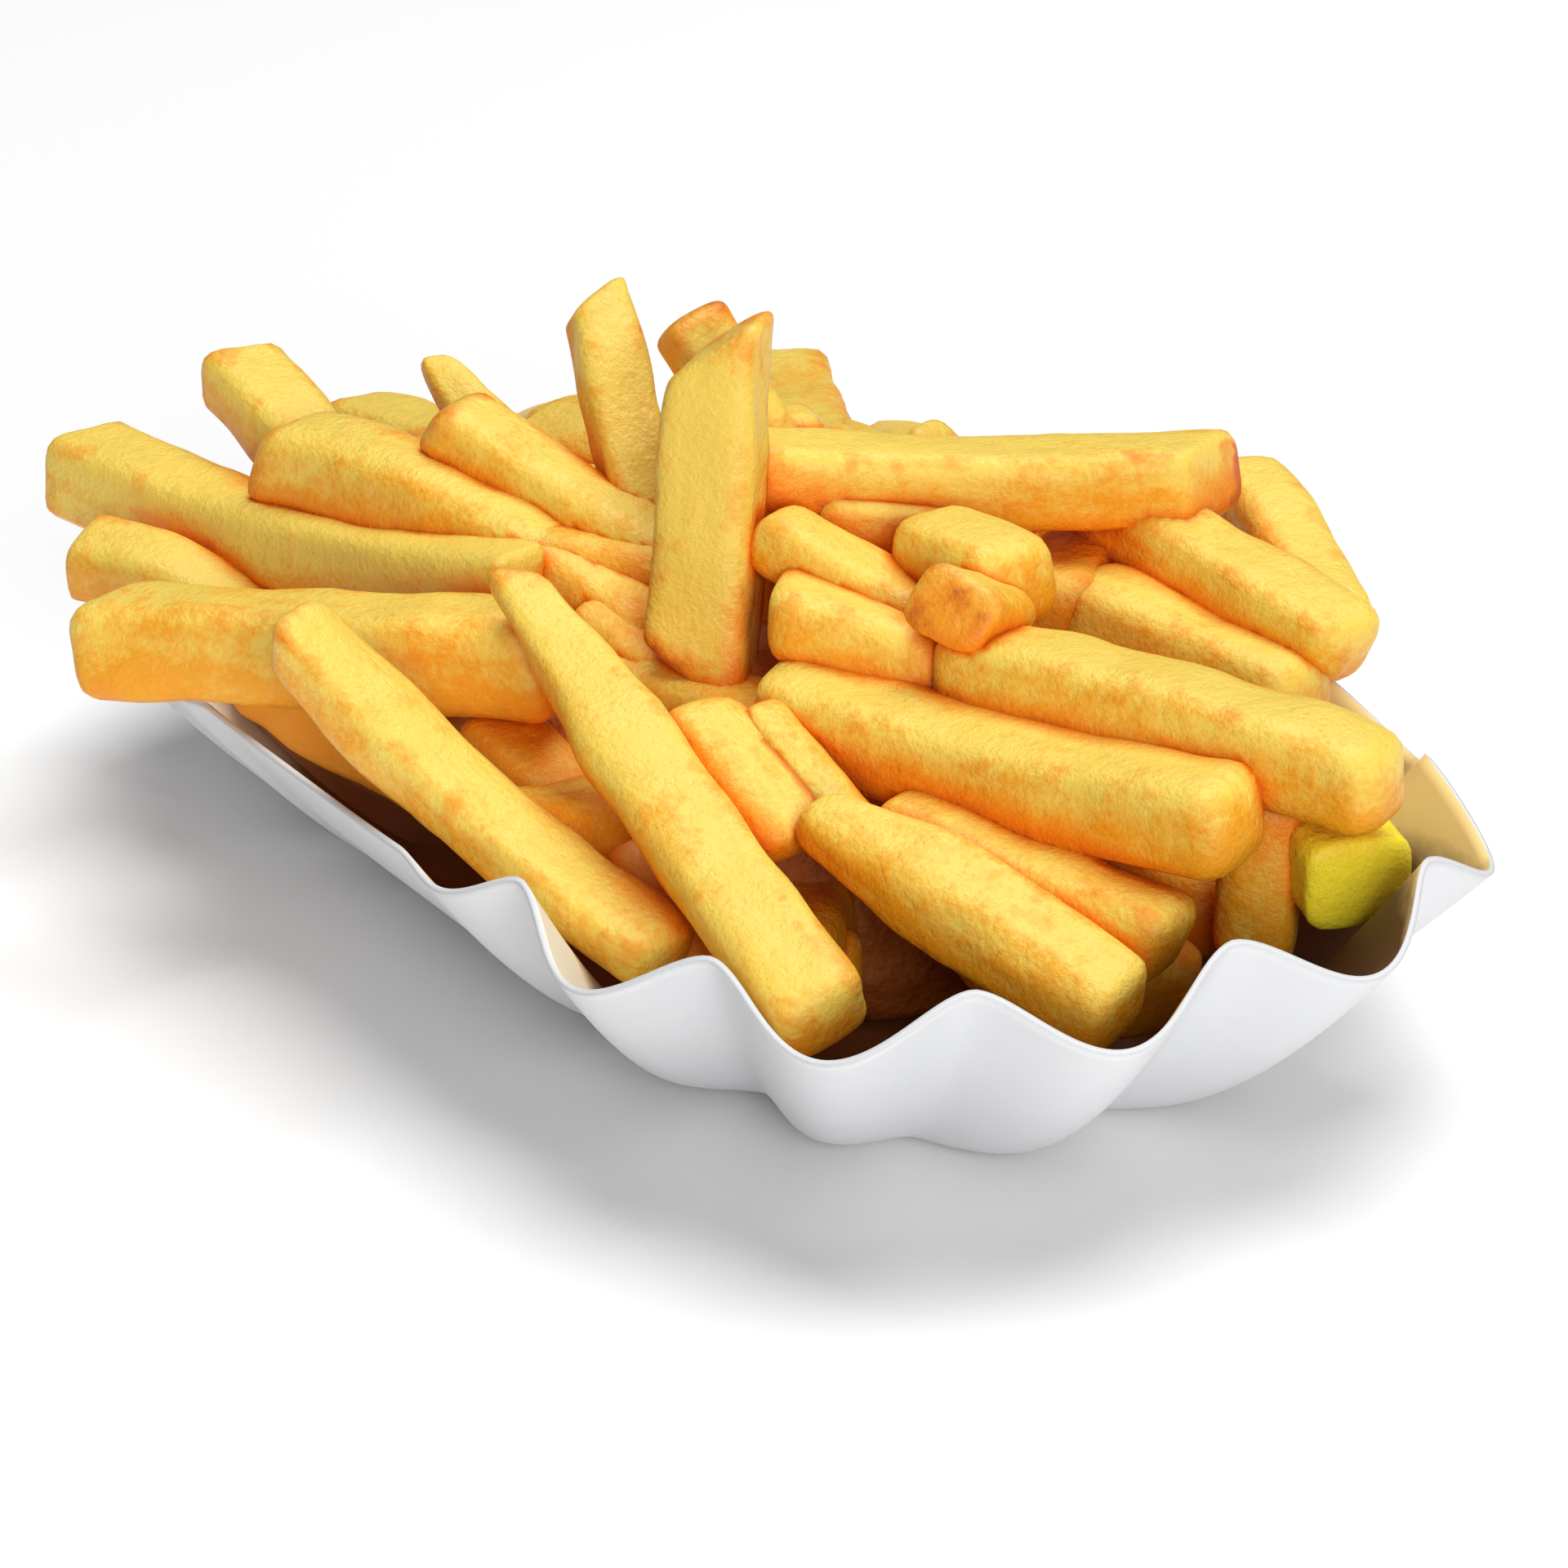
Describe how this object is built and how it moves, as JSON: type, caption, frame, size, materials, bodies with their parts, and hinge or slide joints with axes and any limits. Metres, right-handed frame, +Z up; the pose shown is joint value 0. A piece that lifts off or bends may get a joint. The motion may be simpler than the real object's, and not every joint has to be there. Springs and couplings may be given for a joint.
{
  "type": "french fries in a paper tray",
  "caption": "Thick-cut french fries heaped high in a shallow oval white paper tray with a flared wall and fluted ends, for takeaway food.",
  "frame": {"origin": "centre of the flat underside of the tray", "axes": "+X along the tray's long axis towards the end where the fries fan out low, +Y across the tray, +Z up"},
  "size_m": [0.185, 0.1173, 0.067],
  "materials": {
    "paper": "smooth white paperboard",
    "fry": "golden fried potato, slightly oily"
  },
  "bodies": {
    "root": {"tray": "paper", "fries": "fry"}
  },
  "joints": []
}
